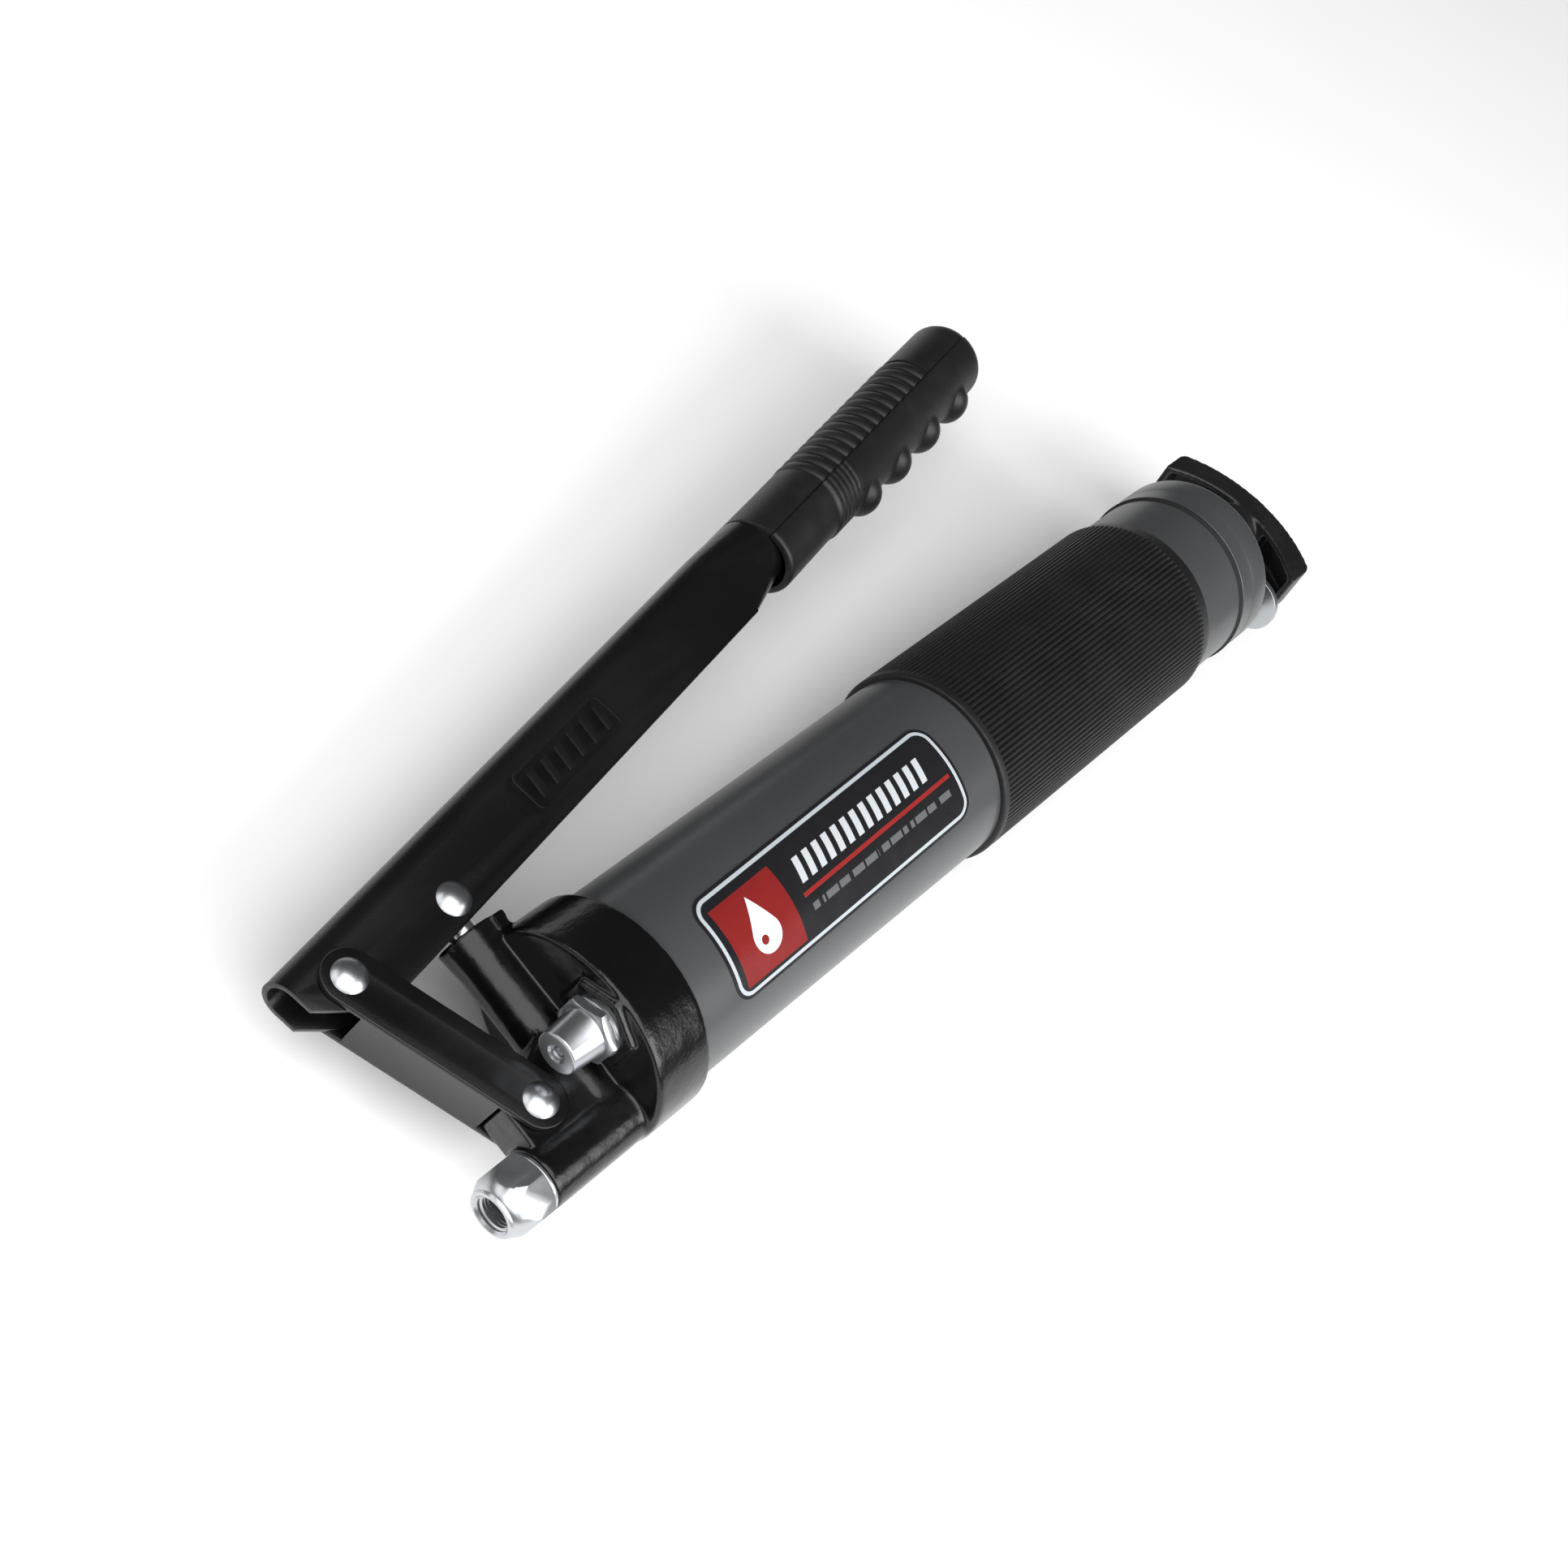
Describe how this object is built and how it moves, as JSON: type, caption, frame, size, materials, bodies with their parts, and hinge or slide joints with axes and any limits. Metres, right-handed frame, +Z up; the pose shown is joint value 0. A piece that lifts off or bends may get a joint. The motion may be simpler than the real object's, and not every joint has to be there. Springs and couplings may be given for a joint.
{
  "type": "grease gun",
  "caption": "Hand lever grease gun: steel barrel with ribbed sleeve, cast head, swinging link and gripped lever, pull-out follower rod with T-handle",
  "frame": {"origin": "centre of the outlet thread's mouth", "axes": "+X back along the barrel, +Y to the lever side, +Z up with the gun on its side"},
  "size_m": [0.3974, 0.1452, 0.0626],
  "materials": {
    "casting_paint": "gloss black paint over a rough casting",
    "stamping_paint": "semi-gloss black paint on sheet steel",
    "barrel_paint": "semi-gloss dark grey paint",
    "zinc": "bright zinc plate",
    "bright_steel": "ground steel",
    "spring_steel": "oiled spring wire",
    "black_rubber": "matte black rubber",
    "seal_rubber": "black nitrile rubber",
    "black_plastic": "moulded black plastic, lightly grained",
    "label_film": "glossy printed film with a light outline and a red panel"
  },
  "bodies": {
    "head": {"head_casting": "casting_paint", "plunger_seal": "seal_rubber", "outlet_adapter": "zinc", "outlet_washer": "zinc", "check_spring": "spring_steel", "filler_valve_body": "zinc", "filler_spring": "spring_steel", "bleeder_body": "zinc", "bleeder_spring": "spring_steel"},
    "link": {"link": "stamping_paint", "lower_link_rivet": "zinc", "upper_link_rivet": "zinc"},
    "lever": {"lever": "stamping_paint", "lever_grip": "black_rubber", "plunger_rivet": "zinc"},
    "plunger": {"plunger": "bright_steel"},
    "check_ball": {"check_ball": "bright_steel"},
    "filler_ball": {"filler_ball": "bright_steel"},
    "bleeder_pin": {"bleeder_pin": "bright_steel"},
    "thread_ring": {"barrel_gasket": "seal_rubber"},
    "barrel": {"barrel": "barrel_paint", "barrel_sleeve": "black_rubber", "label": "label_film", "end_cap": "barrel_paint", "follower_spring": "spring_steel", "latch_spring": "spring_steel"},
    "rod_latch": {"rod_latch": "zinc"},
    "follower": {"follower_cup": "seal_rubber", "follower_front_plate": "zinc", "follower_rear_plate": "zinc"},
    "rod": {"follower_rod": "bright_steel", "rod_nut": "zinc", "t_handle": "black_plastic", "handle_pin": "spring_steel"}
  },
  "joints": [
    {"name": "link_swing", "type": "hinge", "parent": "head", "child": "link", "pos_m": [0.025, 0.014, 0], "axis": [0, 0, 1], "range_deg": [-8.2, 0.3]},
    {"name": "lever_swing", "type": "hinge", "parent": "link", "child": "lever", "pos_m": [0.0051, 0.0648, 0], "axis": [0, 0, 1], "range_deg": [0, 42]},
    {"name": "plunger_slide", "type": "slide", "parent": "head", "child": "plunger", "axis": [0, 1, 0], "range_m": [-0.0005, 0.0232]},
    {"name": "thread_travel", "type": "slide", "parent": "head", "child": "thread_ring", "axis": [1, 0, 0], "range_m": [0, 0.0121]},
    {"name": "barrel_turn", "type": "hinge", "parent": "thread_ring", "child": "barrel", "pos_m": [0.053, 0.022, 0], "axis": [1, 0, 0], "range_deg": [0, 1440]},
    {"name": "latch_press", "type": "hinge", "parent": "barrel", "child": "rod_latch", "pos_m": [0.3605, 0.034, 0], "axis": [0, 0, 1], "range_deg": [-5, 0], "stiffness_Nm_per_rad": 0.3, "springref_deg": 6.88, "deforming": ["latch_spring"]},
    {"name": "follower_pull", "type": "slide", "parent": "barrel", "child": "follower", "axis": [1, 0, 0], "range_m": [0, 0.2], "stiffness_N_per_m": 260, "springref_m": -0.15, "deforming": ["follower_spring"]},
    {"name": "rod_turn", "type": "hinge", "parent": "follower", "child": "rod", "pos_m": [0.366, 0.022, 0], "axis": [1, 0, 0], "continuous": true},
    {"name": "check_ball_lift", "type": "slide", "parent": "head", "child": "check_ball", "axis": [-1, 0, 0], "range_m": [0, 0.0018], "stiffness_N_per_m": 300, "springref_m": -0.002, "deforming": ["check_spring"]},
    {"name": "filler_ball_press", "type": "slide", "parent": "head", "child": "filler_ball", "axis": [1, 0, 0], "range_m": [0, 0.0015], "stiffness_N_per_m": 300, "springref_m": -0.002, "deforming": ["filler_spring"]},
    {"name": "bleeder_press", "type": "slide", "parent": "head", "child": "bleeder_pin", "axis": [1, 0, 0], "range_m": [0, 0.002], "stiffness_N_per_m": 400, "springref_m": -0.003, "deforming": ["bleeder_spring"]}
  ],
  "couplings": [
    {"joint": "link_swing", "follows": "lever_swing", "ratio": -0.187},
    {"joint": "plunger_slide", "follows": "lever_swing", "m_per_rad": 0.031},
    {"joint": "thread_travel", "follows": "barrel_turn", "m_per_rad": 0.00047746}
  ]
}
